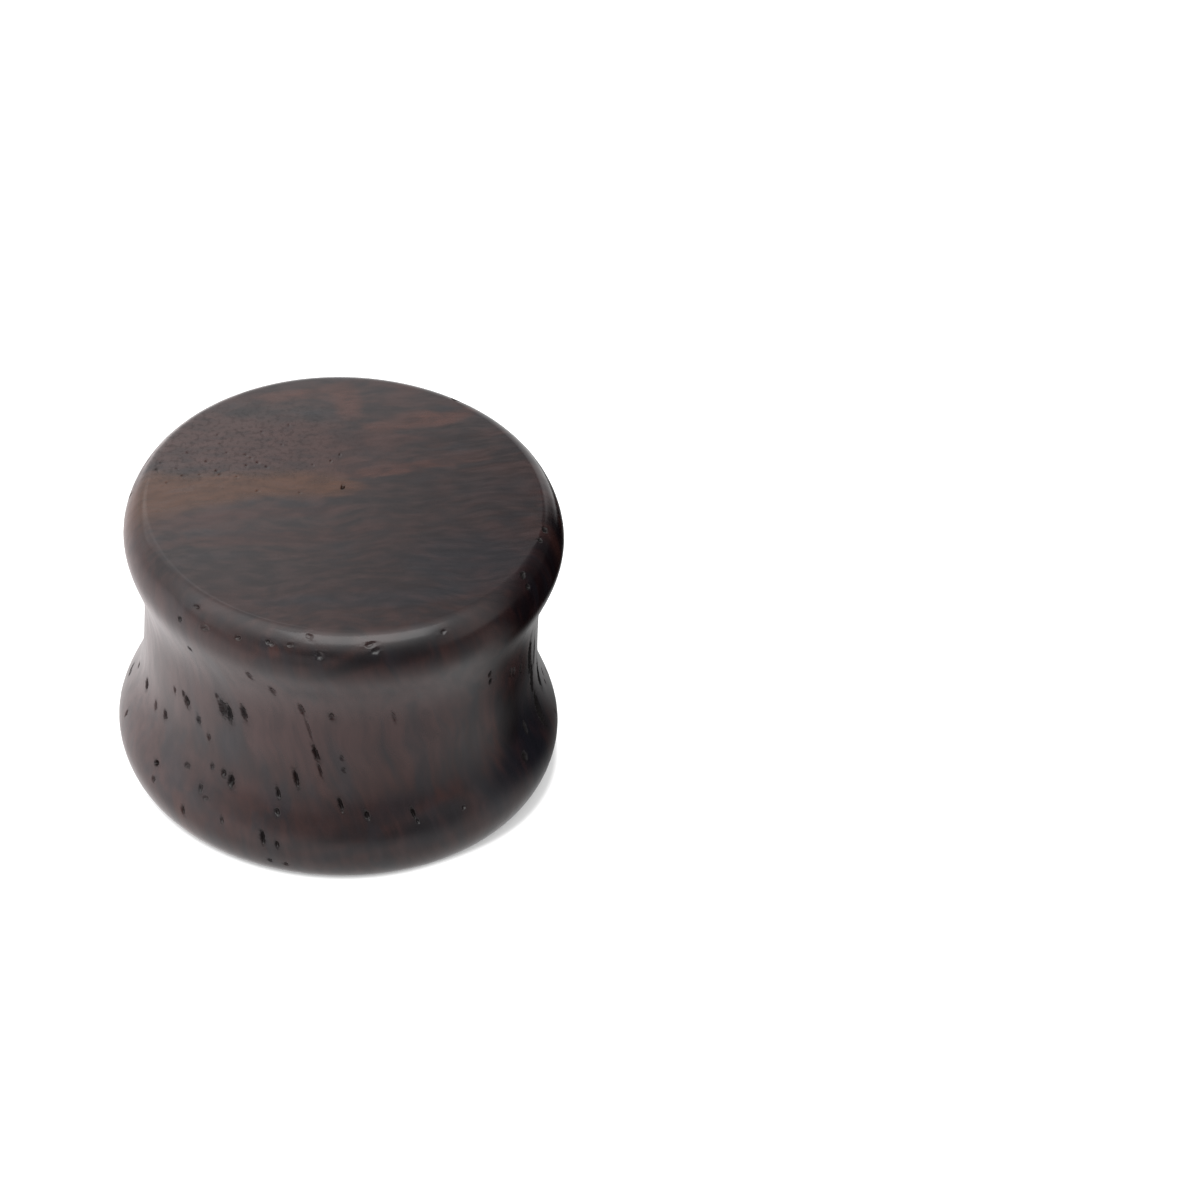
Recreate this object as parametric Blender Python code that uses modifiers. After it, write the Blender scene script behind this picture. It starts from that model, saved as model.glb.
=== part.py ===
"""A solid hardwood ear plug, turned with a saddle waist between two flared rims.

It stands upright as it would on a table. The origin is the centre of its lower flat face, +Z runs
along the axis it was turned on, and all sizes are in metres. The ear lobe sits in the waist, and the
rims keep the plug from slipping out either way.
"""

import math

import bmesh
import bpy

# Driving dimensions
WAIST_RADIUS = 0.0080  # half of the gauge that the plug is sold by
FLARE_RISE = 0.00094  # how far a rim stands out past the waist
PLUG_LENGTH = 0.0128  # from one flat face to the other
RIM_DEPTH = 0.0016  # along the axis, from a flat face to the rim's widest circle
RIM_ROLL = 0.00086  # along the radius, from the rim's widest circle to the edge of the flat face

# Shape of the two curves
RIM_FULLNESS = 1.65  # 1 is a straight chamfer, and 2 a quarter of an ellipse
SADDLE_SHARPNESS = 1.69  # 1 is one even wave, and more keeps the waist flatter and the flares shorter

# Fineness of the mesh
TURN_STEPS = 96
RIM_SEGMENTS = 7
HALF_SADDLE_SEGMENTS = 11
AXIS_MERGE = 0.000001
SHARP_EDGE = math.radians(15)

# Looks of the bare solid
WOOD_COLOUR = (0.070, 0.052, 0.047, 1.0)
WOOD_ROUGHNESS = 0.45


def clear_scene():
    for thing in list(bpy.data.objects):
        bpy.data.objects.remove(thing)


def rim_curve(flare_radius, half_length):
    """(radius, height) from the edge of the flat face out and down to the rim's widest circle."""
    face_radius = flare_radius - RIM_ROLL
    widest_height = half_length - RIM_DEPTH
    points = []
    for step in range(RIM_SEGMENTS + 1):
        turn = 0.5 * math.pi * step / RIM_SEGMENTS
        out = math.sin(turn) ** (2 / RIM_FULLNESS)
        up = math.cos(turn) ** (2 / RIM_FULLNESS)
        points.append((face_radius + RIM_ROLL * out, widest_height + RIM_DEPTH * up))
    return points


def saddle_curve(half_length):
    """(radius, height) from below the rim's widest circle down to the middle of the waist."""
    widest_height = half_length - RIM_DEPTH
    points = []
    for step in range(1, HALF_SADDLE_SEGMENTS + 1):
        share = 1 - step / HALF_SADDLE_SEGMENTS
        rise = 0.5 * (1 - math.cos(math.pi * share**SADDLE_SHARPNESS))
        points.append((WAIST_RADIUS + FLARE_RISE * rise, widest_height * share))
    return points


def plug_profile():
    """Half of the plug's lengthwise section, from the top centre down its outer side to the origin."""
    half_length = PLUG_LENGTH / 2
    flare_radius = WAIST_RADIUS + FLARE_RISE
    upper = rim_curve(flare_radius, half_length) + saddle_curve(half_length)
    lower = [(radius, -height) for radius, height in reversed(upper[:-1])]
    side = [(radius, half_length + height) for radius, height in upper + lower]
    return [(0.0, PLUG_LENGTH)] + side + [(0.0, 0.0)]


def turned_mesh(name, profile):
    """The profile turned about Z into one closed mesh."""
    outline = bmesh.new()
    points = [outline.verts.new((radius, 0.0, height)) for radius, height in profile]
    for upper, lower in zip(points, points[1:]):
        outline.edges.new((upper, lower))
    outline_mesh = bpy.data.meshes.new(name + "_outline")
    outline.to_mesh(outline_mesh)
    outline.free()

    blank = bpy.data.objects.new(name + "_blank", outline_mesh)
    bpy.context.scene.collection.objects.link(blank)
    screw = blank.modifiers.new("turn", "SCREW")
    screw.axis = "Z"
    screw.angle = 2 * math.pi
    screw.steps = TURN_STEPS
    screw.render_steps = TURN_STEPS
    screw.use_merge_vertices = True
    screw.merge_threshold = AXIS_MERGE

    bpy.context.view_layer.update()
    graph = bpy.context.evaluated_depsgraph_get()
    mesh = bpy.data.meshes.new_from_object(blank.evaluated_get(graph))
    bpy.data.objects.remove(blank)
    bpy.data.meshes.remove(outline_mesh)
    mesh.name = name
    mesh.shade_smooth()
    mesh.set_sharp_from_angle(angle=SHARP_EDGE)
    return mesh


def wood_material():
    material = bpy.data.materials.new("dark_hardwood")
    material.use_nodes = True
    shader = material.node_tree.nodes["Principled BSDF"]
    shader.inputs["Base Color"].default_value = WOOD_COLOUR
    shader.inputs["Roughness"].default_value = WOOD_ROUGHNESS
    shader.inputs["Metallic"].default_value = 0.0
    return material


def plug_body(collection):
    """The whole plug, cut from one block."""
    mesh = turned_mesh("plug_body", plug_profile())
    mesh.materials.append(wood_material())
    body = bpy.data.objects.new("plug_body", mesh)
    collection.objects.link(body)


def main():
    clear_scene()
    collection = bpy.data.collections.new("wooden_ear_plug")
    bpy.context.scene.collection.children.link(collection)
    plug_body(collection)


main()
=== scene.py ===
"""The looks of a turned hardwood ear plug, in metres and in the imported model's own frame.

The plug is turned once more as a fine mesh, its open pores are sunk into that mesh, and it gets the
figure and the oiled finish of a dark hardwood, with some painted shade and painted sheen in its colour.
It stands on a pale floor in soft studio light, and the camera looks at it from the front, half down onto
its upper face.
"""

import math
import random

import bmesh
import bpy
from mathutils import Matrix, Vector, noise
from mathutils.bvhtree import BVHTree
from mathutils.kdtree import KDTree


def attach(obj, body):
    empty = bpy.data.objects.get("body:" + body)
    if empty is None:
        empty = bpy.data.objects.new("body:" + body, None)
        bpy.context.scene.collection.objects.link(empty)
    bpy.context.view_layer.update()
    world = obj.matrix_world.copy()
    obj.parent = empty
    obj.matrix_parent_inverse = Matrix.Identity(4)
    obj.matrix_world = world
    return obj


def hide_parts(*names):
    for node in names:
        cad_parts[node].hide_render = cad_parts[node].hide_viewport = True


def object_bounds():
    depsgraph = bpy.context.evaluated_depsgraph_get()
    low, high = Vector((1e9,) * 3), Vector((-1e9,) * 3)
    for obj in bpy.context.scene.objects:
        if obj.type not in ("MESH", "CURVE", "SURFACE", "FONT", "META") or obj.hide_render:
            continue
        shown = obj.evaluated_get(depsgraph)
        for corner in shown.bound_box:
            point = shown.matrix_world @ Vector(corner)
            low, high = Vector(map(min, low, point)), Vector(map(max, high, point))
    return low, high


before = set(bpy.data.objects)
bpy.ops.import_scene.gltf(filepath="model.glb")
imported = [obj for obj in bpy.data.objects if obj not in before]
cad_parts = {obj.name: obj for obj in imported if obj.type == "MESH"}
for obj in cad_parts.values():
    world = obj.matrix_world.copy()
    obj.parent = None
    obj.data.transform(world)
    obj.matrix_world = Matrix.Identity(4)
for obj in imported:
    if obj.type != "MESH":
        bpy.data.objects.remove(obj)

MM = 0.001
CAD_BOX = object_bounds()
DOWN = Vector((0.0, 0.0, -1.0))

# The turned form, as the solid has it
PLUG_LENGTH = CAD_BOX[1].z - CAD_BOX[0].z
FLARE_RADIUS = (CAD_BOX[1].x - CAD_BOX[0].x) / 2
HALF_LENGTH = PLUG_LENGTH / 2
WAIST_RADIUS = 8.0 * MM
RIM_DEPTH = 1.6 * MM  # along the axis, from a flat face to the rim's widest circle
RIM_ROLL = 0.86 * MM  # along the radius, from the rim's widest circle to the edge of the flat face
RIM_FULLNESS = 1.65
SADDLE_SHARPNESS = 1.69
WIDEST_HEIGHT = HALF_LENGTH - RIM_DEPTH  # of a rim's widest circle, from the middle of the waist
FACE_RADIUS = FLARE_RADIUS - RIM_ROLL

# Fineness of the turned mesh
TURN_STEPS = 240
SIDE_SPACING = 0.22 * MM
FACE_SPACING = 0.36 * MM
EDGE_RING = 0.09 * MM  # the width of a face's outermost ring; inside it the face is shaded flat
CURVE_STEPS = 400
AXIS_MERGE = 0.001 * MM
CLOSE_TO_A_PORE = (0.20 * MM, 0.10 * MM, 0.05 * MM)  # how far past a pore each round of refining goes

# The camera, set by the photograph
PHOTO_SIDE = 1200
PIXELS_PER_MM = 24.608
CAMERA_DISTANCE = 1.1
CAMERA_LIFT = 0.6898  # in radians over the table
CAMERA_ROLL = 0.0372  # in radians
PLUG_PIXEL = Vector((341.1, 625.65))  # where the middle of the plug is in the photograph
SENSOR_WIDTH = 36.0
CLIP_END = 10.0

# The timber
GRAIN_LEAN = math.radians(16.3)  # the grain leans to the left of the plug's axis
LAYER_TURN = math.radians(10.0)  # the growth layers rise to the right across the upper face
GRAIN = Vector((-math.sin(GRAIN_LEAN), 0.0, math.cos(GRAIN_LEAN)))
LAYER_HINT = Vector((-math.sin(LAYER_TURN), math.cos(LAYER_TURN), 0.0))
ACROSS_LAYERS = (LAYER_HINT - GRAIN * LAYER_HINT.dot(GRAIN)).normalized()
ALONG_LAYERS = ACROSS_LAYERS.cross(GRAIN)

# The wood's shades. In some charted patches dark and slate are painted shade, and pink is painted sheen.
TIMBER = {
    "grey": (0.0125, 0.0068, 0.0072, 1.0),
    "brown": (0.0190, 0.0078, 0.0072, 1.0),
    "red": (0.0260, 0.0082, 0.0068, 1.0),
    "dark": (0.0040, 0.0022, 0.0030, 1.0),
    "slate": (0.0075, 0.0075, 0.0105, 1.0),
    "pink": (0.0340, 0.0150, 0.0145, 1.0),
    "warm": (0.0440, 0.0145, 0.0100, 1.0),
    "heart": (0.0475, 0.0163, 0.0060, 1.0),
}
WANDER = 0.25 * MM  # how far a patch's edge strays from its oval
WANDER_SPACING = 2.0 * MM
FACE_PATCH_DEPTH = 3.0 * MM  # how far into the wood a patch of a face reaches
LEAST_SEEN = 0.2  # a charted mark on a slanting surface is drawn out by no more than 1 / this
PATCH_EDGE = (0.35, 1.5)  # where a patch begins to fade and where it ends, as shares of its half size

# The noises of the timber. A stretch says how fine one is across the layers, along them and along the
# grain, and the scale multiplies it.
NOISE_MIDDLE = 0.5
LAYER_NOISE = {"stretch": (1.0, 0.12, 0.06), "scale": 1.1, "detail": 3.0, "roughness": 0.5}
STREAK_NOISE = {"stretch": (1.5, 1.5, 0.13), "detail": 2.0, "roughness": 0.45}
BLOTCH_NOISE = {"stretch": (0.8, 0.6, 0.3), "scale": 0.9, "detail": 3.0, "roughness": 0.55}
FACE_MOTTLE_NOISE = {"stretch": (2.6, 1.0, 1.0), "detail": 2.0, "roughness": 0.45}
WALL_MOTTLE_NOISE = {"stretch": (2.2, 2.2, 0.5), "detail": 2.5, "roughness": 0.5}
FACE_LINE_NOISE = {"stretch": (6.0, 1.0, 0.5), "detail": 2.0, "roughness": 0.45}
WALL_LINE_NOISE = {"stretch": (5.0, 5.0, 0.4), "detail": 2.0, "roughness": 0.5}
GRAIN_WANDER = 0.8  # how far the grain strays from a straight line, in millimetres
GRAIN_WANDER_SCALE = 0.25
WALL_MOTTLE_SHARE = 0.6  # how much of the noise is left on the wall
WALL_LINE_SHARE = 0.5
WALL_ENDS = (5.6, 6.3)  # where its figure gives way to a face's, in millimetres from half the height

# What the noises do to the wood: the noise's values at which a change begins and ends, and for most of
# them the strength there
BROWN_WITH_FIGURE = (0.36, 0.62)
SLATE_WITH_BLOTCHES = (0.54, 0.72, 0.0, 0.7)
SLATE_WITH_STREAKS = (0.32, 0.46, 0.45, 0.0)
SLATE_WITH_MOTTLE = (0.32, 0.56, 0.30, 0.0)
PINK_WITH_MOTTLE = (0.47, 0.75, 0.0, 0.22)
PINKER_ON_WALL = (0.47, 0.75, 0.0, 0.20)
BRIGHTER_WITH_LINES = (0.25, 0.75, 0.89, 1.11)
DULLER_WITH_MOTTLE = (0.35, 0.65, 0.12, 0.0)
ROUGHER_WITH_LINES = (0.3, 0.7, 0.17, 0.22)
MOTTLE_IN_BROWN = 0.4
RAGGED_EDGE = (-0.05, 0.45)  # how a patch of the figure fades out
FIGURE_IN_EDGE = 1.2  # how much the noises fray that edge
MOTTLE_IN_EDGE = 0.5
HEART_KEEPS_OUT = 0.6  # how much of the slate mottle a heart patch keeps out
SPECK_SCALE = 5.0  # of the dull specks, per millimetre
SPECK_EDGE = (0.50, 0.62)
SPECK_DULLNESS = 0.22

# Its finish
OIL_IOR = 1.5
FINE_RELIEF_SCALE = 7.0
FINE_RELIEF_DETAIL = 3.0
FINE_RELIEF_SHARE = 0.4
LINE_RELIEF_SHARE = 0.6
RELIEF_HEIGHT = 0.003 * MM
PORE_COLOUR = (0.004, 0.003, 0.003, 1.0)
PORE_ROUGHNESS = 0.8
PORE_GLOSS = 0.15

# Patches that show in the photograph: shade, pixel x and y of the middle, width along the growth layers
# (on the wall, across the grain), the other width, both in pixels, and strength. Most are the wood's
# figure; the rows marked on the wall are painted shade and painted sheen.
# They were placed one by one. A patch of specks has small dull specks and no shade of its own.
FACE_FIGURE = (
    ("heart", 138, 502, 80, 44, 0.90),
    ("heart", 195, 491, 110, 36, 0.90),
    ("heart", 250, 485, 100, 28, 0.85),
    ("heart", 305, 485, 90, 24, 0.80),
    ("heart", 342, 487, 46, 18, 0.45),
    ("warm", 392, 468, 150, 14, 0.40),
    ("warm", 460, 460, 120, 12, 0.30),
    ("warm", 372, 473, 90, 8, 0.50),
    ("warm", 350, 462, 60, 10, 0.40),
    ("warm", 348, 403, 34, 36, 0.75),
    ("warm", 284, 395, 56, 14, 0.70),
    ("warm", 384, 427, 50, 14, 0.75),
    ("warm", 434, 421, 60, 16, 0.85),
    ("warm", 412, 414, 50, 12, 0.50),
    ("warm", 325, 390, 70, 14, 0.50),
    ("warm", 466, 412, 40, 12, 0.50),
    ("warm", 205, 462, 70, 8, 0.30),
    ("red", 205, 440, 200, 60, 0.95),
    ("red", 300, 446, 150, 48, 0.90),
    ("red", 250, 395, 90, 16, 0.60),
    ("red", 185, 520, 120, 18, 0.60),
    ("red", 290, 588, 230, 44, 0.50),
    ("red", 300, 535, 240, 24, 0.35),
    ("red", 290, 512, 170, 14, 0.65),
    ("red", 210, 540, 130, 14, 0.35),
    ("red", 390, 440, 120, 16, 0.45),
    ("red", 225, 592, 60, 10, 0.45),
    ("red", 400, 545, 60, 10, 0.30),
    ("dark", 252, 412, 60, 12, 0.80),
    ("dark", 300, 420, 90, 10, 0.45),
    ("dark", 395, 410, 40, 8, 0.55),
    ("dark", 450, 440, 100, 10, 0.40),
    ("dark", 350, 502, 50, 12, 0.40),
    ("slate", 215, 556, 80, 12, 0.45),
    ("slate", 190, 600, 50, 14, 0.50),
    ("slate", 470, 560, 150, 60, 0.70),
    ("slate", 390, 598, 200, 16, 0.70),
    ("slate", 290, 600, 90, 12, 0.50),
    ("slate", 330, 545, 80, 10, 0.35),
    ("slate", 500, 490, 80, 30, 0.30),
    ("grey", 450, 500, 190, 80, 0.80),
    ("grey", 370, 570, 260, 60, 0.70),
    ("grey", 230, 580, 140, 30, 0.60),
    ("grey", 430, 398, 70, 12, 0.60),
    ("specks", 225, 446, 270, 90, 1.00),
)
WALL_FIGURE = (
    ("pink", 345, 718, 170, 100, 0.85),
    ("pink", 430, 708, 90, 90, 0.85),
    ("pink", 265, 705, 80, 90, 0.65),
    ("pink", 196, 672, 34, 60, 0.70),
    ("pink", 490, 700, 22, 70, 0.80),
    ("pink", 138, 715, 50, 130, 1.00),
    ("pink", 160, 790, 50, 60, 0.80),
    ("pink", 185, 700, 50, 60, 0.60),
    ("pink", 258, 745, 24, 50, 0.60),
    ("warm", 495, 738, 16, 60, 0.45),
    ("warm", 268, 652, 60, 14, 0.45),
    ("red", 160, 716, 30, 50, 0.60),
    ("red", 300, 760, 60, 60, 0.60),
    ("red", 318, 782, 12, 40, 0.50),
    ("red", 405, 765, 110, 44, 0.60),
    ("red", 440, 798, 60, 24, 0.60),
    ("red", 210, 826, 80, 30, 0.80),
    ("red", 250, 800, 60, 50, 0.50),
    ("red", 470, 838, 60, 16, 0.40),
    # painted shade: this row darkens the right of the wall
    ("dark", 513, 712, 20, 44, 0.90),
    ("dark", 300, 846, 90, 12, 0.45),
    ("dark", 380, 840, 120, 14, 0.60),
    ("dark", 262, 764, 16, 40, 0.30),
    # painted shade: the next three rows darken the band under the upper rim's highlight
    ("dark", 385, 655, 180, 18, 1.00),
    ("dark", 312, 656, 80, 16, 0.90),
    ("dark", 420, 653, 60, 14, 0.80),
    ("dark", 440, 822, 70, 30, 0.60),
    ("dark", 345, 832, 90, 20, 0.50),
    # painted shade: the next five rows darken the right of the rim and the wall
    ("dark", 558, 532, 16, 40, 1.00),
    ("dark", 550, 560, 24, 40, 1.00),
    ("dark", 538, 586, 30, 40, 1.00),
    ("dark", 524, 613, 34, 40, 1.00),
    ("dark", 506, 722, 28, 40, 0.80),
    # painted sheen: this row lightens the right of the waist under the upper rim
    ("pink", 514, 667, 44, 32, 0.90),
    ("dark", 200, 798, 16, 20, 0.50),
    ("slate", 228, 742, 26, 40, 0.90),
    ("slate", 175, 760, 20, 50, 0.50),
    ("slate", 190, 790, 50, 30, 0.50),
    ("slate", 270, 796, 26, 30, 0.50),
    ("slate", 342, 770, 16, 80, 0.60),
    ("slate", 395, 808, 60, 30, 0.45),
    ("slate", 432, 826, 70, 34, 0.80),
    ("slate", 350, 850, 120, 12, 0.40),
    # painted shade and a painted bluish reflection: the last three rows, on the right of the wall
    ("slate", 530, 735, 60, 120, 1.00),
    ("slate", 500, 790, 60, 50, 0.80),
    ("slate", 540, 680, 30, 60, 0.70),
)

# Open pores that show in the photograph: pixel x and y, width and length in pixels, and depth
# as a share of the deepest. They were picked one by one.
DEEPEST_PORE = 0.15 * MM
PORE_SPREAD = 1.25  # the soft edge of a pore reaches past the dark part that was charted
PIT_EDGE = (0.15, 0.95)  # where a pit's floor begins to rise and where it ends, in half sizes
STAIN_EDGE = (0.30, 1.50)  # the same for the dark stain in and round it
PORE_REACH = 1.6  # no stain goes farther than this many half lengths
PORE_RAG = 0.35  # how ragged a pore's outline is
PORE_RAG_SPACING = 0.11 * MM
SHALLOW_DARKNESS = 0.2  # the share of its darkness that a pore without depth would keep
WALL_PORE_DARKNESS = 0.76
RIM_PORE_DARKNESS = 0.70
RIM_RING_DARKNESS = 0.30  # of the faint round marks in the sheen of the rim
# the pores on the shaded right side get a darker stain than the rest: painted shade
DARK_SIDE_DARKNESS = 1.20
FACE_PORE_DARKNESS = 0.60
FAINT_PORE_DARKNESS = 0.55
FAINT_DEPTH = 0.05 * MM  # of the small pores of the upper face, which the oil nearly fills
WALL_PORES = (
    (147, 684, 5, 10, 1.0),
    (156, 705, 4, 10, 0.4),
    (165.5, 715, 5, 9, 0.7),
    (175, 690, 3, 8, 0.4),
    (187, 701, 5.5, 12, 1.0),
    (183.5, 694, 3, 7, 0.6),
    (190, 649, 4, 5, 0.4),
    (199, 720, 5, 9, 0.5),
    (209, 737, 4, 8, 0.4),
    (223, 708, 8, 18, 0.8),
    (229.5, 713, 6, 19, 0.9),
    (217, 696, 4, 7, 0.4),
    (244, 713, 5.5, 16, 0.8),
    (249.5, 676, 5, 9, 0.35),
    (126.5, 713, 3, 8, 0.4),
    (139, 665, 3, 6, 0.5),
    (130, 673, 3, 6, 0.5),
    (272.5, 691, 5, 9, 0.40),
    (302, 710, 5, 13, 0.55),
    (309, 729, 3, 28, 0.3),
    (316, 754, 5, 18, 1.0),
    (320, 770, 3, 16, 0.5),
    (332, 717, 6, 8, 0.45),
    (394, 717, 4, 12, 0.35),
    (342, 758, 4, 6, 0.35),
    (344, 770, 4, 6, 0.35),
    (156.5, 763, 5, 6, 1.0),
    (153.5, 779, 4, 6, 0.5),
    (187.5, 765, 6, 6, 0.45),
    (212.5, 766, 4, 7, 0.4),
    (224, 773, 5, 8, 0.7),
    (231.5, 781, 6, 12, 1.0),
    (201, 788, 4, 10, 0.4),
    (206, 798, 6, 5, 0.4),
    (183, 810, 4, 9, 0.7),
    (222, 820, 3, 9, 0.4),
    (278.5, 793, 4, 13, 0.75),
    (277.5, 812, 5, 8, 0.7),
    (262.5, 838, 4.5, 15, 1.0),
    (277, 845, 4, 8, 0.7),
    (270, 860, 5, 4, 0.5),
    (286, 864, 5, 4, 0.5),
    (296, 778, 4.5, 19, 1.0),
    (341, 805, 4.5, 14, 1.0),
    (367, 815, 5, 9, 1.0),
    (413.5, 813, 4, 12, 1.0),
    (418, 821, 3, 7, 0.5),
    (464, 807, 4, 5, 0.4),
)
RIM_PORES = (
    (268, 642, 5, 5, 0.5),
    (272, 644, 5, 4, 0.4),
    (290, 645, 6, 4, 0.4),
    (238, 638, 6, 5, 0.5),
    (205, 628, 7, 6, 0.4),
    (197, 607, 6, 5, 0.5),
    (180, 619, 4, 5, 0.5),
    (455, 400, 6, 4, 0.6),
)
RIM_RINGS = (
    (309, 637, 8, 8, 0.35),
    (320, 656, 9, 9, 0.35),
    (370, 645, 12, 6, 0.40),
    (376, 651, 9, 6, 0.25),
    (443, 632, 7, 5, 0.20),
)
# Pores on the right side, which is in shade: their darker stain is painted shade
DARK_SIDE_PORES = (
    (545, 530, 5, 6, 0.8),
    (540, 540, 4, 5, 0.7),
    (523, 575, 5, 6, 0.7),
    (528, 587, 4, 5, 0.7),
    (490, 674, 4, 5, 0.7),
    (490.5, 681, 4, 5, 0.8),
    (511, 672, 4, 8, 0.6),
    (521, 668, 4, 8, 0.8),
    (529.5, 657, 6, 30, 0.9),
    (531.5, 678, 6, 26, 0.9),
    (534, 652, 3, 24, 0.8),
    (538, 673, 5, 26, 0.8),
    (538.5, 709, 7, 28, 1.0),
    (525.5, 728, 4, 14, 0.6),
    (524.5, 756, 6, 9, 0.8),
    (514, 672, 5, 8, 0.5),
)
FACE_PORES = (
    (343, 487, 5, 4, 1.0),
)
FAINT_PORES = (
    (188, 453, 4, 4, 0.36),
    (207, 462, 4, 4, 0.42),
    (220, 444, 3, 3, 0.30),
    (218, 435, 3, 3, 0.24),
    (246, 455, 4, 4, 0.42),
    (251, 458, 3, 3, 0.36),
    (258, 463, 4, 4, 0.42),
    (262, 432, 3, 3, 0.24),
    (227, 453, 3, 3, 0.30),
    (247, 466, 4, 4, 0.42),
    (267, 467, 4, 4, 0.36),
    (217, 471, 4, 4, 0.42),
    (220, 475, 3, 3, 0.36),
    (237, 477, 3, 3, 0.30),
    (200, 475, 3, 3, 0.30),
    (183, 476, 4, 4, 0.42),
    (177, 469, 3, 3, 0.30),
    (157, 470, 4, 4, 0.36),
    (161, 463, 3, 3, 0.30),
    (282, 445, 3, 3, 0.24),
    (289, 425, 3, 3, 0.24),
    (313, 465, 3, 3, 0.24),
    (340, 455, 3, 3, 0.24),
    (331, 461, 3, 3, 0.24),
    (300, 493, 3, 3, 0.24),
    (258, 491, 3, 3, 0.30),
    (167, 483, 3, 3, 0.30),
)

# Studio
FLOOR_RADIUS = 1.5
FLOOR_SEGMENTS = 96
FLOOR_GAP = 0.02 * MM
TABLE_GAP = 0.06 * MM
FLOOR_COLOUR = (0.5, 0.5, 0.5, 1.0)
FLOOR_ROUGHNESS = 0.8
FLOOR_GLOSS = 0.2
WHITE = (1.0, 1.0, 1.0, 1.0)

# Lengths from here on to the front box are in millimetres: x to the right, y away from the camera and
# z up. A row has the two places where a change begins and ends, and for most of them the light there.
# painted contact shadow: the sheet's glow is dimmer round the plug's foot, and the dim band reaches farther
# on the right
FOOT_GLOW_AND_PAINTED_SHADOW = (8.15, 8.5, 0.25, 0.75)  # of the sheet, by the distance from the plug's axis
FOOT_PAINTED_SHADOW_RIGHT = (4.0, 9.5, 0.0, 0.65)  # by x, how far the foot's dim edge spreads on the right

TABLE_ACROSS = (-30.8, 28.6, 1.85, 0.475)  # by x
TABLE_NEARER = (-50.0, 0.0, 0.45, 1.0)  # by y
TABLE_FARTHER = (-13.0, 25.0, 1.0, 0.55)  # by y
TABLE_FOOT = (8.0, 13.5, 0.77, 1.0)  # by the distance from the plug's axis
TABLE_WARMTH = (-30.8, 12.0, 1.12, 1.0)  # by x, of the red alone
SHADOW_AWAY = (-4.4, 4.5)  # by y, to which a share of x is added, so that this edge slants
SHADOW_SLANT = 0.25  # that share
SHADOW_RIGHT = (1.6, 14.0)  # by x
PAST_SHADOW_AWAY = (3.4, 8.0, 0.04, 0.45)  # by y
PAST_SHADOW_RIGHT = (11.0, 16.0, 1.0, 0.0)  # by x

CARD_LEFT = -60.0
CARD_RIGHT = 60.0
CARD_BEHIND = 30.0
CARD_HEIGHT = 80.0
CARD_DIVIDE = (28.6, 34.5)  # by z, from the card's lower part to its upper one
UPPER_ACROSS = (-10.0, 8.8, 1.41, 0.0)  # by x
UPPER_LEFT = (-38.0, -18.0, 0.55, 1.0)  # by x
UPPER_HEIGHT = (36.5, 42.5, 1.0, 0.51)  # by z
LOWER_RIGHT = (18.0, 33.8, 1.23, 0.0)  # by x
LOWER_LEFT = (-34.8, -4.6)  # by x

BOX_LIFT = math.radians(52.0)
BOX_TURN = math.radians(13.5)  # towards the right, from straight in front
BOX_DISTANCE = 0.5
BOX_WIDTH = 0.56
BOX_HEIGHT = 0.33
BOX_RADIANCE = 1.78

# The room's light by direction: bright in front and above, darker behind, nearly black low down on the
# right behind, and a little darker low in front
ROOM_DARKEST = 1.15
ROOM_BRIGHTEST = 2.32
ROOM_AIM = Vector((-0.254, -0.591, 0.531))
ROOM_EDGE = (0.205, 0.686)
SHADE_AIM = Vector((0.615, 0.782, -0.103))
SHADE_EDGE = (0.233, 0.705)
SHADE_LEAST = 0.047
LOW_FRONT = 0.136
LOW_FRONT_EDGE = (0.104, 1.0)
LOW_EDGE = (0.08, 0.72)
HORIZON = (-0.02, 0.0)

# Open pores and streaks on the sides that the photograph doesn't show
HIDDEN_SEED = 7
HIDDEN_HEIGHTS = (0.04, 0.96)  # as shares of the plug's length
HIDDEN_AREA = 0.95  # the share of the lower face that they may lie on
HIDDEN_WALL_PORES = 90
HIDDEN_FACE_PORES = 70
HIDDEN_WALL_STREAKS = 40
HIDDEN_FACE_STREAKS = 30
HIDDEN_SHADES = ("red", "red", "warm", "pink", "dark", "slate")
HIDDEN_STRENGTH = (0.4, 1.0)

# Their least and greatest sizes, in millimetres. A pore's length is given in widths, and its depth as a
# share of the deepest.
WALL_PORE_SIZE = {"wide": (0.10, 0.24), "long": (1.6, 4.5), "deep": (0.35, 1.0)}
FACE_PORE_SIZE = {"wide": (0.10, 0.18), "long": (1.0, 1.4), "deep": (0.3, 0.8)}
WALL_STREAK_SIZE = {"wide": (0.25, 0.90), "tall": (1.0, 3.5)}
FACE_STREAK_SIZE = {"wide": (1.2, 4.0), "tall": (0.15, 0.60)}


class Number:
    """A number on its way through the nodes: arithmetic on it adds Math nodes."""

    def __init__(self, shader, socket):
        self.shader = shader
        self.socket = socket

    def math(self, operation, *others):
        return self.shader.math(operation, self, *others)

    def __add__(self, other):
        return self.math("ADD", other)

    def __radd__(self, other):
        return self.math("ADD", other)

    def __mul__(self, other):
        return self.math("MULTIPLY", other)

    def __rmul__(self, other):
        return self.math("MULTIPLY", other)

    def __sub__(self, other):
        return self.math("SUBTRACT", other)

    def __rsub__(self, other):
        return self.shader.math("SUBTRACT", other, self)

    def __truediv__(self, other):
        return self.math("DIVIDE", other)

    def __rtruediv__(self, other):
        return self.shader.math("DIVIDE", other, self)


class Made:
    """A node that has just been made, with its outputs ready to be used."""

    def __init__(self, shader, node):
        self.shader = shader
        self.node = node

    def number(self, output=0):
        return Number(self.shader, self.node.outputs[output])

    def socket(self, output=0):
        return self.node.outputs[output]


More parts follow.
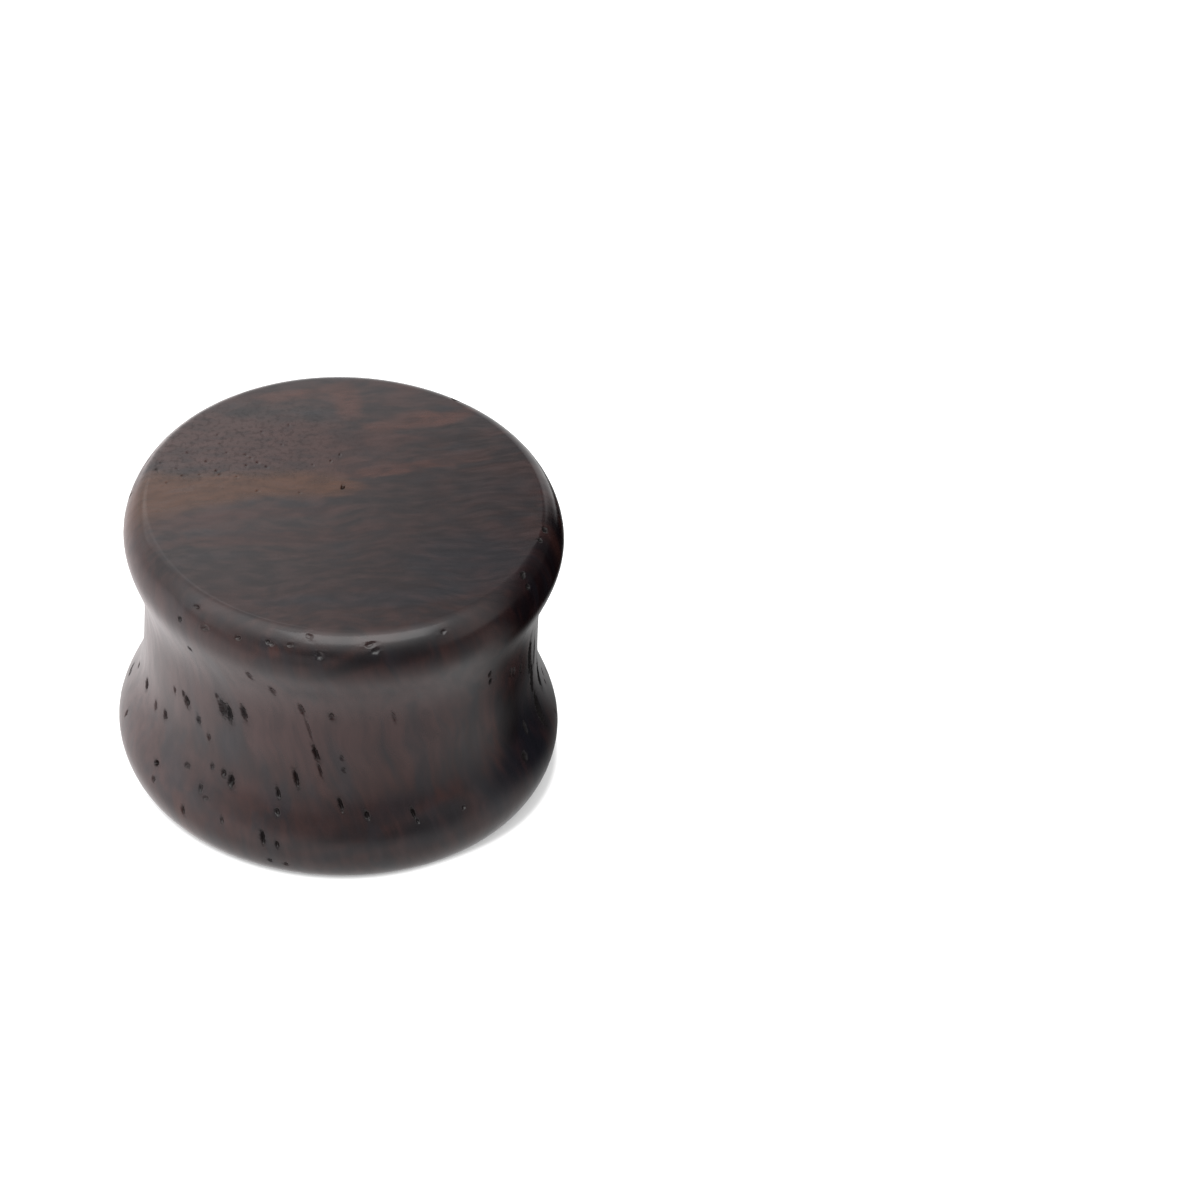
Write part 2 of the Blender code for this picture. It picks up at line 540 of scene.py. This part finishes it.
class Shader:
    """The node tree of one material or of the world."""

    def __init__(self, owner):
        owner.use_nodes = True
        self.tree = owner.node_tree
        self.tree.nodes.clear()

    def node(self, kind, settings=None, inputs=None):
        """Adds a node of this type: its settings first, and then the values or links of its sockets."""
        node = self.tree.nodes.new(kind)
        for name, value in (settings or {}).items():
            setattr(node, name, value)
        for name, value in (inputs or {}).items():
            self.feed(node.inputs[name], value)
        return Made(self, node)

    def feed(self, target, value):
        if isinstance(value, Number):
            value = value.socket
        if isinstance(value, bpy.types.NodeSocket):
            self.tree.links.new(value, target)
        else:
            target.default_value = value

    def math(self, operation, *values):
        return self.node("ShaderNodeMath", {"operation": operation}, dict(enumerate(values))).number()

    def vector_math(self, operation, *values):
        return self.node("ShaderNodeVectorMath", {"operation": operation}, dict(enumerate(values)))

    def dot(self, vector, direction):
        return self.vector_math("DOT_PRODUCT", vector, tuple(direction)).number("Value")

    def vector(self, x, y, z):
        return self.node("ShaderNodeCombineXYZ", None, {"X": x, "Y": y, "Z": z}).socket()

    def attribute(self, name):
        """A number that the mesh keeps at each vertex."""
        return self.node("ShaderNodeAttribute", {"attribute_name": name}).number("Fac")

    def noise(self, vector, scale=1.0, detail=2.0, roughness=0.5):
        inputs = {"Vector": vector, "Scale": scale, "Detail": detail, "Roughness": roughness}
        return self.node("ShaderNodeTexNoise", None, inputs)

    def grain_noise(self, axes, stretch, **settings):
        """Noise that is stretched differently along each of three axes."""
        place = self.vector(*(axis * share for axis, share in zip(axes, stretch)))
        return self.noise(place, **settings).number("Fac")

    def calmed(self, value, share):
        """A noise that strays less from its middle."""
        return NOISE_MIDDLE + (value - NOISE_MIDDLE) * share

    def spread(self, value, low, high, new_low=0.0, new_high=1.0):
        """The value mapped from one range to another, held within it and eased at both ends."""
        inputs = {"Value": value, "From Min": low, "From Max": high, "To Min": new_low, "To Max": new_high}
        return self.node("ShaderNodeMapRange", {"interpolation_type": "SMOOTHSTEP"}, inputs).number()

    def between(self, share, first, second):
        """Two numbers mixed by a share from 0 to 1."""
        return first + (second - first) * share

    def mix(self, share, first, second, blend="MIX"):
        """Two colours mixed by a share from 0 to 1."""
        settings = {"data_type": "RGBA", "blend_type": blend}
        return self.node("ShaderNodeMix", settings, {"Factor": share, 6: first, 7: second}).socket(2)


def evenly_spaced(points, spacing):
    """The same line with its points at equal steps along it."""
    along = [0.0]
    for first, second in zip(points, points[1:]):
        along.append(along[-1] + math.dist(first, second))
    count = max(1, round(along[-1] / spacing))
    spaced = []
    place = 0
    for step in range(count + 1):
        mark = along[-1] * step / count
        while place < len(points) - 2 and along[place + 1] < mark:
            place += 1
        share = (mark - along[place]) / (along[place + 1] - along[place])
        (radius, height), (next_radius, next_height) = points[place:place + 2]
        spaced.append((radius + (next_radius - radius) * share, height + (next_height - height) * share))
    return spaced


def rim_curve():
    """(radius, height over the middle) from the edge of the flat face to the rim's widest circle."""
    points = []
    for step in range(CURVE_STEPS + 1):
        turn = 0.5 * math.pi * step / CURVE_STEPS
        out = math.sin(turn) ** (2 / RIM_FULLNESS)
        up = math.cos(turn) ** (2 / RIM_FULLNESS)
        points.append((FACE_RADIUS + RIM_ROLL * out, WIDEST_HEIGHT + RIM_DEPTH * up))
    return points


def saddle_curve():
    """(radius, height over the middle) from below the rim's widest circle to the middle of the waist."""
    points = []
    for step in range(1, CURVE_STEPS + 1):
        share = 1 - step / CURVE_STEPS
        rise = 0.5 * (1 - math.cos(math.pi * share**SADDLE_SHARPNESS))
        points.append((WAIST_RADIUS + (FLARE_RADIUS - WAIST_RADIUS) * rise, WIDEST_HEIGHT * share))
    return points


def side_line():
    """(radius, height) down the plug's outer side, from the upper face's edge to the lower one's."""
    upper = rim_curve() + saddle_curve()
    lower = [(radius, -height) for radius, height in reversed(upper[:-1])]
    return [(radius, HALF_LENGTH + height) for radius, height in upper + lower]


def turned_blank():
    """The plain turned plug, as a closed bmesh."""
    inner = FACE_RADIUS - EDGE_RING
    upper_face = evenly_spaced([(0.0, PLUG_LENGTH), (inner, PLUG_LENGTH)], FACE_SPACING)
    side = evenly_spaced(side_line(), SIDE_SPACING)
    lower_face = evenly_spaced([(inner, 0.0), (0.0, 0.0)], FACE_SPACING)
    blank = bmesh.new()
    points = [blank.verts.new((radius, 0.0, height)) for radius, height in upper_face + side + lower_face]
    lines = [blank.edges.new(pair) for pair in zip(points, points[1:])]
    bmesh.ops.spin(blank, geom=points + lines, cent=(0, 0, 0), axis=(0, 0, 1), angle=2 * math.pi,
                   steps=TURN_STEPS, use_merge=True, use_duplicate=False)
    bmesh.ops.remove_doubles(blank, verts=blank.verts, dist=AXIS_MERGE)
    bmesh.ops.recalc_face_normals(blank, faces=blank.faces)
    return blank


def pore_directions(normal):
    """The two directions of a pore on a surface that faces this way: along the grain, and across it."""
    along = (GRAIN - normal * GRAIN.dot(normal)).normalized()
    return along, normal.cross(along)


class Pore:
    """An open vessel of the wood where it meets the surface: an oval pit drawn out along the grain."""

    def __init__(self, place, normal, width, length, depth, darkness):
        self.place = place
        self.along, self.across = pore_directions(normal)
        self.half_width = width / 2
        self.half_length = length / 2
        self.depth = depth
        self.darkness = darkness * (SHALLOW_DARKNESS + (1 - SHALLOW_DARKNESS) * depth / DEEPEST_PORE)

    def reach(self, point, margin=0.0):
        """How far out in the pit's oval a point lies: 0 in its middle and 1 at its edge."""
        offset = point - self.place
        return math.hypot(offset.dot(self.along) / (self.half_length + margin),
                          offset.dot(self.across) / (self.half_width + margin))


class Patch:
    """An oval on the surface where the wood has another shade. Most are the figure; some charted ones
    are painted shade and painted sheen.
    """

    def __init__(self, place, normal, on_face, shade, wide, tall, strength):
        self.place = place
        self.shade = shade
        self.strength = strength
        first, second = patch_directions(normal, on_face)
        deep = FACE_PATCH_DEPTH if on_face else max(wide, tall)
        self.axes = (first / wide, second / tall, normal / deep)
        self.around = PATCH_EDGE[1] * max(wide, tall)

    def share(self, point):
        """How strongly the patch colours the wood at a point."""
        offset = point - self.place
        reach = math.sqrt(sum(offset.dot(axis) ** 2 for axis in self.axes))
        return self.strength * (1 - smooth_step(*PATCH_EDGE, reach))


def patch_directions(normal, on_face):
    """The two directions of a patch. The first is along the layers on a face, and across the grain on
    the wall."""
    first = ALONG_LAYERS if on_face else GRAIN.cross(normal)
    first = (first - normal * first.dot(normal)).normalized()
    return first, normal.cross(first)


def camera_axes():
    """The camera's right, up and forward directions."""
    forward = Vector((0.0, math.cos(CAMERA_LIFT), -math.sin(CAMERA_LIFT)))
    level = Vector((1.0, 0.0, 0.0))
    upright = level.cross(forward)
    right = level * math.cos(CAMERA_ROLL) + upright * math.sin(CAMERA_ROLL)
    up = upright * math.cos(CAMERA_ROLL) - level * math.sin(CAMERA_ROLL)
    return right, up, forward


def pixel_point(x, y):
    """The point behind a pixel of the photograph, on the plane through the plug's middle that faces the
    camera."""
    right, up, _ = camera_axes()
    middle = Vector((0.0, 0.0, HALF_LENGTH))
    pixel = MM / PIXELS_PER_MM
    return middle + right * (x - PLUG_PIXEL.x) * pixel + up * (PLUG_PIXEL.y - y) * pixel


def camera_place():
    _, _, forward = camera_axes()
    return pixel_point(PHOTO_SIDE / 2, PHOTO_SIDE / 2) - forward * CAMERA_DISTANCE


def real_size(pixels, direction):
    """The real size of something that lies in this direction and shows this many pixels long."""
    right, up, _ = camera_axes()
    seen = math.hypot(direction.dot(right), direction.dot(up))
    return pixels * MM / PIXELS_PER_MM / max(seen, LEAST_SEEN)


def seen_place(surface, x, y):
    """Where the camera sees the surface at a pixel of the photograph, and which way it faces there."""
    eye = camera_place()
    place, normal, _, _ = surface.ray_cast(eye, (pixel_point(x, y) - eye).normalized())
    return place, normal


def seen_pores(surface, chart, darkness, deepest=DEEPEST_PORE):
    """The charted pores, each laid on the surface where the camera sees its pixel."""
    pores = []
    for x, y, width, length, depth in chart:
        place, normal = seen_place(surface, x, y)
        along, across = pore_directions(normal)
        real_width = PORE_SPREAD * real_size(width, across)
        real_length = PORE_SPREAD * real_size(length, along)
        pores.append(Pore(place, normal, real_width, real_length, depth * deepest, darkness))
    return pores


def seen_patches(surface, chart, on_face):
    """The charted patches of the figure, and of painted shade and painted sheen, each laid on the surface
    where the camera sees its pixel.
    """
    patches = []
    for shade, x, y, width, height, strength in chart:
        place, normal = seen_place(surface, x, y)
        first, second = patch_directions(normal, on_face)
        wide = real_size(width, first) / 2
        tall = real_size(height, second) / 2
        patches.append(Patch(place, normal, on_face, shade, wide, tall, strength))
    return patches


def place_behind(surface, draw):
    """A place drawn anywhere on the back and the sides of the wall and the rims, and which way it faces."""
    angle = math.radians(draw.uniform(0.0, 180.0))
    height = PLUG_LENGTH * draw.uniform(*HIDDEN_HEIGHTS)
    outward = Vector((math.cos(angle), math.sin(angle), 0.0))
    start = outward * 2 * FLARE_RADIUS + Vector((0.0, 0.0, height))
    place, normal, _, _ = surface.ray_cast(start, -outward)
    return place, normal


def place_below(draw):
    """A place drawn anywhere on the lower face."""
    angle = draw.uniform(0.0, 2 * math.pi)
    radius = FACE_RADIUS * math.sqrt(draw.uniform(0.0, HIDDEN_AREA))
    return Vector((radius * math.cos(angle), radius * math.sin(angle), 0.0))


def drawn_pore(draw, place, normal, size, darkness):
    """A pore whose size is drawn by chance."""
    width = draw.uniform(*size["wide"]) * MM
    length = width * draw.uniform(*size["long"])
    depth = DEEPEST_PORE * draw.uniform(*size["deep"])
    return Pore(place, normal, width, length, depth, darkness)


def drawn_patch(draw, place, normal, on_face, size):
    """A patch whose size, shade and strength are drawn by chance."""
    wide = draw.uniform(*size["wide"]) * MM
    tall = draw.uniform(*size["tall"]) * MM
    shade = draw.choice(HIDDEN_SHADES)
    return Patch(place, normal, on_face, shade, wide, tall, draw.uniform(*HIDDEN_STRENGTH))


def hidden_pores(surface, draw):
    """Pores strewn over the back and the sides, and over the lower face, where the grain ends."""
    pores = []
    for _ in range(HIDDEN_WALL_PORES):
        place, normal = place_behind(surface, draw)
        pores.append(drawn_pore(draw, place, normal, WALL_PORE_SIZE, WALL_PORE_DARKNESS))
    for _ in range(HIDDEN_FACE_PORES):
        pores.append(drawn_pore(draw, place_below(draw), DOWN, FACE_PORE_SIZE, FACE_PORE_DARKNESS))
    return pores


def hidden_patches(surface, draw):
    """Streaks of the figure strewn over the back, the sides and the lower face."""
    patches = []
    for _ in range(HIDDEN_WALL_STREAKS):
        place, normal = place_behind(surface, draw)
        patches.append(drawn_patch(draw, place, normal, False, WALL_STREAK_SIZE))
    for _ in range(HIDDEN_FACE_STREAKS):
        patches.append(drawn_patch(draw, place_below(draw), DOWN, True, FACE_STREAK_SIZE))
    return patches


def point_tree(points):
    """A tree that finds the points near a place."""
    tree = KDTree(len(points))
    for index, point in enumerate(points):
        tree.insert(point, index)
    tree.balance()
    return tree


def refined(plug, pores):
    """Splits the faces round each pore finer, in rounds that close in on it."""
    for margin in CLOSE_TO_A_PORE:
        faces = list(plug.faces)
        tree = point_tree([face.calc_center_median() for face in faces])
        edges = set()
        for pore in pores:
            around = max(pore.half_length, pore.half_width) + margin
            for middle, index, _ in tree.find_range(pore.place, around):
                if pore.reach(middle, margin) < 1.0:
                    edges.update(faces[index].edges)
        bmesh.ops.subdivide_edges(plug, edges=list(edges), cuts=1, use_grid_fill=True)


def smooth_step(low, high, value):
    """0 up to the low value, 1 from the high one on, and eased between them."""
    share = min(1.0, max(0.0, (value - low) / (high - low)))
    return share * share * (3 - 2 * share)


def sunk(plug, pores):
    """Sinks each pore into the surface, and keeps how dark it makes each vertex as the attribute pore."""
    plug.normal_update()
    tree = point_tree([vert.co for vert in plug.verts])
    depths = [0.0] * len(plug.verts)
    shades = [0.0] * len(plug.verts)
    for pore in pores:
        around = PORE_REACH * max(pore.half_length, pore.half_width)
        for place, index, _ in tree.find_range(pore.place, around):
            ragged = 1 + PORE_RAG * noise.noise(place / PORE_RAG_SPACING)
            reach = pore.reach(place) * ragged
            depths[index] = max(depths[index], pore.depth * (1 - smooth_step(*PIT_EDGE, reach)))
            shades[index] = max(shades[index], pore.darkness * (1 - smooth_step(*STAIN_EDGE, reach)))
    layer = plug.verts.layers.float.new("pore")
    moves = [vert.normal * depth for vert, depth in zip(plug.verts, depths)]
    for vert, shade, move in zip(plug.verts, shades, moves):
        vert[layer] = shade
        vert.co -= move


def shaded(plug, patches):
    """Keeps how strongly each shade colours each vertex, as attributes named after the shades."""
    tree = point_tree([vert.co for vert in plug.verts])
    shares = {}
    for patch in patches:
        shade = shares.setdefault(patch.shade, [0.0] * len(plug.verts))
        for place, index, _ in tree.find_range(patch.place, patch.around + WANDER):
            wander = noise.noise_vector(place / WANDER_SPACING) * WANDER
            shade[index] += patch.share(place + wander)
    for name, shade in shares.items():
        layer = plug.verts.layers.float.new("figure_" + name)
        for vert, share in zip(plug.verts, shade):
            vert[layer] = min(1.0, share)


def all_pores(surface, draw):
    """Every pore of the plug, those that the photograph shows first."""
    pores = seen_pores(surface, WALL_PORES, WALL_PORE_DARKNESS)
    pores += seen_pores(surface, RIM_PORES, RIM_PORE_DARKNESS)
    pores += seen_pores(surface, RIM_RINGS, RIM_RING_DARKNESS)
    pores += seen_pores(surface, DARK_SIDE_PORES, DARK_SIDE_DARKNESS)
    pores += seen_pores(surface, FACE_PORES, FACE_PORE_DARKNESS)
    pores += seen_pores(surface, FAINT_PORES, FAINT_PORE_DARKNESS, FAINT_DEPTH)
    return pores + hidden_pores(surface, draw)


def turned_plug():
    """The whole plug as one fine mesh with its open pores."""
    plug = turned_blank()
    surface = BVHTree.FromBMesh(plug)
    draw = random.Random(HIDDEN_SEED)
    pores = all_pores(surface, draw)
    refined(plug, pores)
    patches = seen_patches(surface, FACE_FIGURE, True) + seen_patches(surface, WALL_FIGURE, False)
    shaded(plug, patches + hidden_patches(surface, draw))
    sunk(plug, pores)
    bmesh.ops.triangulate(plug, faces=plug.faces)
    mesh = bpy.data.meshes.new("turned_plug")
    plug.to_mesh(mesh)
    plug.free()
    mesh.shade_smooth()
    mesh.materials.append(oiled_wood())
    piece = bpy.data.objects.new("turned_plug", mesh)
    bpy.context.scene.collection.objects.link(piece)
    return piece


class Timber:
    """The noises that the wood's figure is made of, each running with the grain."""

    def __init__(self, wood):
        place = wood.node("ShaderNodeTexCoord").socket("Object")
        scale = {"Vector": place, "Scale": (1 / MM,) * 3}
        self.millimetres = wood.node("ShaderNodeMapping", None, scale).socket()
        wander = wood.noise(self.millimetres, GRAIN_WANDER_SCALE).socket("Color")
        range_of_wander = (2 * GRAIN_WANDER,) * 3
        least_wander = (-GRAIN_WANDER,) * 3
        wander = wood.vector_math("MULTIPLY_ADD", wander, range_of_wander, least_wander).socket()
        wandering = wood.vector_math("ADD", self.millimetres, wander).socket()
        axes = [wood.dot(wandering, axis) for axis in (ACROSS_LAYERS, ALONG_LAYERS, GRAIN)]

        height = wood.dot(self.millimetres, (0.0, 0.0, 1.0))
        from_waist = (height - HALF_LENGTH / MM).math("ABSOLUTE")
        self.on_wall = wood.spread(from_waist, *WALL_ENDS, 1.0, 0.0)
        self.streaks = wood.grain_noise(axes, **STREAK_NOISE)
        self.blotches = wood.grain_noise(axes, **BLOTCH_NOISE)
        self.figure = wood.between(self.on_wall, wood.grain_noise(axes, **LAYER_NOISE), self.streaks)
        wall_mottle = wood.calmed(wood.grain_noise(axes, **WALL_MOTTLE_NOISE), WALL_MOTTLE_SHARE)
        face_mottle = wood.grain_noise(axes, **FACE_MOTTLE_NOISE)
        self.mottle = wood.between(self.on_wall, face_mottle, wall_mottle)
        wall_lines = wood.calmed(wood.grain_noise(axes, **WALL_LINE_NOISE), WALL_LINE_SHARE)
        face_lines = wood.grain_noise(axes, **FACE_LINE_NOISE)
        self.lines = wood.between(self.on_wall, face_lines, wall_lines)


def timber_colour(wood, timber):
    """Grey and brown wood, with the charted shades over it and a fine mottle over them. Some charted shades
    are painted shade and painted sheen.
    """
    brown = timber.figure + (timber.mottle - NOISE_MIDDLE) * MOTTLE_IN_BROWN
    brown = wood.spread(brown, *BROWN_WITH_FIGURE)
    colour = wood.mix(brown, TIMBER["grey"], TIMBER["brown"])
    colour = wood.mix(wood.spread(timber.blotches, *SLATE_WITH_BLOTCHES), colour, TIMBER["slate"])
    ragged = (timber.figure - NOISE_MIDDLE) * FIGURE_IN_EDGE
    ragged = ragged + (timber.mottle - NOISE_MIDDLE) * MOTTLE_IN_EDGE
    for shade in ("red", "grey", "pink", "slate", "warm", "heart", "dark"):
        share = wood.attribute("figure_" + shade)
        colour = wood.mix(share * wood.spread(share + ragged, *RAGGED_EDGE), colour, TIMBER[shade])

    slate_streaks = wood.spread(timber.streaks, *SLATE_WITH_STREAKS) * timber.on_wall
    colour = wood.mix(slate_streaks, colour, TIMBER["slate"])
    slate = wood.spread(timber.mottle, *SLATE_WITH_MOTTLE)
    slate = slate * (1 - HEART_KEEPS_OUT * wood.attribute("figure_heart"))
    colour = wood.mix(slate, colour, TIMBER["slate"])
    pink = wood.spread(timber.mottle, *PINK_WITH_MOTTLE)
    pink = pink + timber.on_wall * wood.spread(timber.mottle, *PINKER_ON_WALL)
    colour = wood.mix(pink, colour, TIMBER["pink"])
    bright = wood.spread(timber.lines, *BRIGHTER_WITH_LINES)
    return wood.mix(1.0, colour, wood.vector(bright, bright, bright), "MULTIPLY")


def oiled_wood():
    """Dark hardwood with warm streaks along its growth layers, open pores and a satin oil finish. Some
    charted patches in its colour are painted shade and painted sheen.
    """
    material = bpy.data.materials.new("oiled_dark_hardwood")
    wood = Shader(material)
    timber = Timber(wood)
    fine = wood.noise(timber.millimetres, FINE_RELIEF_SCALE, FINE_RELIEF_DETAIL).number("Fac")
    relief = timber.lines * LINE_RELIEF_SHARE + fine * FINE_RELIEF_SHARE
    bump = wood.node("ShaderNodeBump", None, {
        "Strength": 1.0,
        "Distance": RELIEF_HEIGHT,
        "Height": relief,
    })
    oiled = wood.node("ShaderNodeBsdfPrincipled", None, {
        "Base Color": timber_colour(wood, timber),
        "Roughness": wood.spread(timber.lines, *ROUGHER_WITH_LINES),
        "IOR": OIL_IOR,
        "Normal": bump.socket(),
    })
    hollow = wood.node("ShaderNodeBsdfPrincipled", None, {
        "Base Color": PORE_COLOUR,
        "Roughness": PORE_ROUGHNESS,
        "Specular IOR Level": PORE_GLOSS,
    })
    specks = wood.spread(wood.noise(timber.millimetres, SPECK_SCALE).number("Fac"), *SPECK_EDGE)
    specks = specks * wood.attribute("figure_specks")
    duller = wood.attribute("pore") + specks * SPECK_DULLNESS
    duller = duller + wood.spread(timber.mottle, *DULLER_WITH_MOTTLE)
    both = wood.node("ShaderNodeMixShader", None, {0: duller, 1: oiled.socket(), 2: hollow.socket()})
    wood.node("ShaderNodeOutputMaterial", None, {"Surface": both.socket()})
    return material


def stage_piece(name, shape, material):
    """Makes a piece of the studio, which isn't part of the plug."""
    mesh = bpy.data.meshes.new(name)
    shape.to_mesh(mesh)
    shape.free()
    mesh.materials.append(material)
    piece = bpy.data.objects.new(name, mesh)
    bpy.context.scene.collection.objects.link(piece)
    return piece


def glow(name, light_at):
    """A sheer material that only shines, with the light that this function of x, y and z asks for."""
    material = bpy.data.materials.new(name)
    shining = Shader(material)
    place = shining.node("ShaderNodeTexCoord").socket("Object")
    parts = shining.node("ShaderNodeSeparateXYZ", None, {0: place})
    x, y, z = (parts.number(axis) / MM for axis in "XYZ")
    light = shining.node("ShaderNodeEmission", None, {"Color": light_at(shining, x, y, z), "Strength": 1.0})
    sheer = shining.node("ShaderNodeBsdfTransparent")
    both = shining.node("ShaderNodeAddShader", None, {0: light.socket(), 1: sheer.socket()})
    shining.node("ShaderNodeOutputMaterial", None, {"Surface": both.socket()})
    return material


def disc(height):
    shape = bmesh.new()
    bmesh.ops.create_circle(shape, cap_ends=True, radius=FLOOR_RADIUS, segments=FLOOR_SEGMENTS,
                            matrix=Matrix.Translation((0.0, 0.0, height)))
    return shape


def pale_floor():
    """The white sheet under the plug, which the camera sees. Its glow is dimmer round the plug's foot, and
    farther out on the right: a painted contact shadow.
    """
    material = bpy.data.materials.new("white_sheet")
    sheet = Shader(material)
    place = sheet.node("ShaderNodeTexCoord").socket("Object")
    right = sheet.dot(place, (1 / MM, 0.0, 0.0))
    away = sheet.vector_math("LENGTH", place).number("Value") / MM
    # painted contact shadow: the glow is dimmer round the plug's foot, more so on the right
    shine = sheet.spread(away - sheet.spread(right, *FOOT_PAINTED_SHADOW_RIGHT), *FOOT_GLOW_AND_PAINTED_SHADOW)
    shader = sheet.node("ShaderNodeBsdfPrincipled", None, {
        "Base Color": FLOOR_COLOUR,
        "Roughness": FLOOR_ROUGHNESS,
        "Specular IOR Level": FLOOR_GLOSS,
        "Emission Color": sheet.vector(shine, shine, shine),
        "Emission Strength": 1.0,
    })
    sheet.node("ShaderNodeOutputMaterial", None, {"Surface": shader.socket()})
    floor = stage_piece("floor", disc(-FLOOR_GAP), material)
    floor.visible_glossy = False
    floor.visible_diffuse = False
    floor.visible_shadow = False


def table_glow():
    """The light that the table throws up onto the plug: bright on the left, and dim on the right and
    behind."""
    def light(shining, x, y, _):
        from_axis = (x * x + y * y).math("SQRT")
        open_table = shining.spread(x, *TABLE_ACROSS) * shining.spread(y, *TABLE_NEARER)
        open_table = open_table * shining.spread(y, *TABLE_FARTHER)
        shadow = shining.spread(y + x * SHADOW_SLANT, *SHADOW_AWAY) * shining.spread(x, *SHADOW_RIGHT)
        past_shadow = shining.spread(y, *PAST_SHADOW_AWAY) * shining.spread(x, *PAST_SHADOW_RIGHT)
        lit = open_table * (1 - shadow) + past_shadow * shadow
        bright = lit * shining.spread(from_axis, *TABLE_FOOT)
        return shining.vector(bright * shining.spread(x, *TABLE_WARMTH), bright, bright)

    table = stage_piece("table_glow", disc(-TABLE_GAP), glow("table_glow", light))
    table.visible_camera = False


def back_card():
    """A sheer bright card close behind the plug, which its upper face mirrors. It is brightest on the
    left."""
    def light(shining, x, _, z):
        upper = shining.spread(x, *UPPER_ACROSS) * shining.spread(x, *UPPER_LEFT)
        upper = upper * shining.spread(z, *UPPER_HEIGHT)
        lower = shining.spread(x, *LOWER_RIGHT) * shining.spread(x, *LOWER_LEFT)
        return shining.between(shining.spread(z, *CARD_DIVIDE), lower, upper)

    width = (CARD_RIGHT - CARD_LEFT) * MM
    height = CARD_HEIGHT * MM
    middle = Vector(((CARD_LEFT + CARD_RIGHT) / 2 * MM, CARD_BEHIND * MM, height / 2))
    shape = bmesh.new()
    bmesh.ops.create_grid(shape, size=0.5, matrix=Matrix.Rotation(math.pi / 2, 4, "X"))
    bmesh.ops.scale(shape, verts=shape.verts, vec=(width, 1.0, height))
    bmesh.ops.translate(shape, verts=shape.verts, vec=middle)
    card = stage_piece("back_card", shape, glow("back_card", light))
    card.visible_camera = False
    card.visible_shadow = False


def front_box():
    """A soft box above the camera, which lights the front of the rim and stays out of the picture."""
    light = bpy.data.lights.new("front_box", "AREA")
    light.shape = "RECTANGLE"
    light.size = BOX_WIDTH
    light.size_y = BOX_HEIGHT
    light.energy = BOX_RADIANCE * math.pi * BOX_WIDTH * BOX_HEIGHT
    box = bpy.data.objects.new("front_box", light)
    level = math.cos(BOX_LIFT)
    towards = Vector((level * math.sin(BOX_TURN), -level * math.cos(BOX_TURN), math.sin(BOX_LIFT)))
    turn = towards.to_track_quat("Z", "Y").to_matrix().to_4x4()
    box.matrix_world = Matrix.Translation(towards * BOX_DISTANCE) @ turn
    box.visible_camera = False
    bpy.context.scene.collection.objects.link(box)


def studio_room():
    """The pale room that the plug mirrors. The camera sees plain white in its place."""
    world = bpy.data.worlds.new("studio")
    bpy.context.scene.world = world
    room = Shader(world)
    direction = room.node("ShaderNodeTexCoord").socket("Generated")
    up = room.dot(direction, (0.0, 0.0, 1.0))
    front = room.dot(direction, (0.0, -1.0, 0.0))
    light = room.spread(room.dot(direction, ROOM_AIM), *ROOM_EDGE, ROOM_DARKEST, ROOM_BRIGHTEST)
    shade = room.spread(room.dot(direction, SHADE_AIM), *SHADE_EDGE, 1.0, SHADE_LEAST)
    low_front = room.spread(front, *LOW_FRONT_EDGE) * room.spread(up, *LOW_EDGE, 1.0 - LOW_FRONT, 0.0)
    bright = light * shade * (1 - low_front) * room.spread(up, *HORIZON)
    seen = room.node("ShaderNodeLightPath").number("Is Camera Ray")
    colour = room.mix(seen, room.vector(bright, bright, bright), WHITE)
    background = room.node("ShaderNodeBackground", None, {"Color": colour, "Strength": 1.0})
    room.node("ShaderNodeOutputWorld", None, {"Surface": background.socket()})


def photo_camera():
    """The camera at the photograph's place, without shift or depth of field."""
    right, up, forward = camera_axes()
    frame_width = PHOTO_SIDE / PIXELS_PER_MM * MM
    camera = bpy.data.cameras.new("camera")
    camera.sensor_width = SENSOR_WIDTH
    camera.lens = SENSOR_WIDTH * CAMERA_DISTANCE / frame_width
    camera.clip_end = CLIP_END
    stand = bpy.data.objects.new("camera", camera)
    matrix = Matrix((right, up, -forward)).transposed().to_4x4()
    matrix.translation = camera_place()
    stand.matrix_world = matrix
    bpy.context.scene.collection.objects.link(stand)
    bpy.context.scene.camera = stand


def main():
    bpy.context.scene.view_settings.view_transform = "Standard"
    photo_camera()
    studio_room()
    front_box()
    table_glow()
    back_card()
    pale_floor()
    plug = turned_plug()
    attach(plug, "root")
    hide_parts("plug_body")


main()
